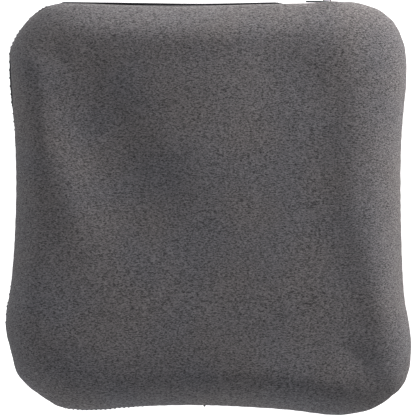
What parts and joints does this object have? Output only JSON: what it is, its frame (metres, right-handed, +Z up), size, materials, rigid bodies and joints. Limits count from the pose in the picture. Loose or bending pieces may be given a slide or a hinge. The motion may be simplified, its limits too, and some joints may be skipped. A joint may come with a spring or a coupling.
{
  "type": "kneeling pad",
  "caption": "Square padded kneeling cushion with rounded corners: a two-layer foam core in a liner, inside a suede-topped, grip-bottomed cover that zips open along its back edge.",
  "frame": {"origin": "on the ground, under the middle of the pad's box, zip slider included", "axes": "+Z up, +Y towards the back edge that holds the zip, +X to the right seen from above with the back edge away"},
  "size_m": [0.4056, 0.4171, 0.066],
  "materials": {
    "suede_grey": "matte",
    "grip_cloth_black": "matte",
    "grip_dots_black": "satin",
    "liner_white": "matte",
    "comfort_foam": "matte",
    "base_foam": "matte",
    "zip_tape_black": "matte",
    "zip_coil_black": "satin",
    "zip_metal_black": "satin",
    "thread_black": "matte"
  },
  "bodies": {
    "cushion": {"cover_top_panel": "suede_grey", "cover_bottom_panel": "grip_cloth_black", "inner_liner": "liner_white", "foam_comfort_layer": "comfort_foam", "foam_base_layer": "base_foam", "zipper_tape_upper": "zip_tape_black", "zipper_tape_lower": "zip_tape_black", "zipper_coil_upper": "zip_coil_black", "zipper_coil_lower": "zip_coil_black", "top_stop_upper": "zip_metal_black", "top_stop_lower": "zip_metal_black", "bottom_stop": "zip_metal_black"},
    "zip_slider": {"slider_body": "zip_metal_black"},
    "zip_pull": {"pull_tab": "zip_metal_black"}
  },
  "joints": [
    {"name": "slider_slide", "type": "slide", "parent": "cushion", "child": "zip_slider", "axis": [-1, 0, 0], "range_m": [0, 0.254]},
    {"name": "pull_tab_hinge", "type": "hinge", "parent": "zip_slider", "child": "zip_pull", "pos_m": [0.1205, 0.20635, 0.03], "axis": [0, 0, -1], "range_deg": [0, 170]}
  ]
}
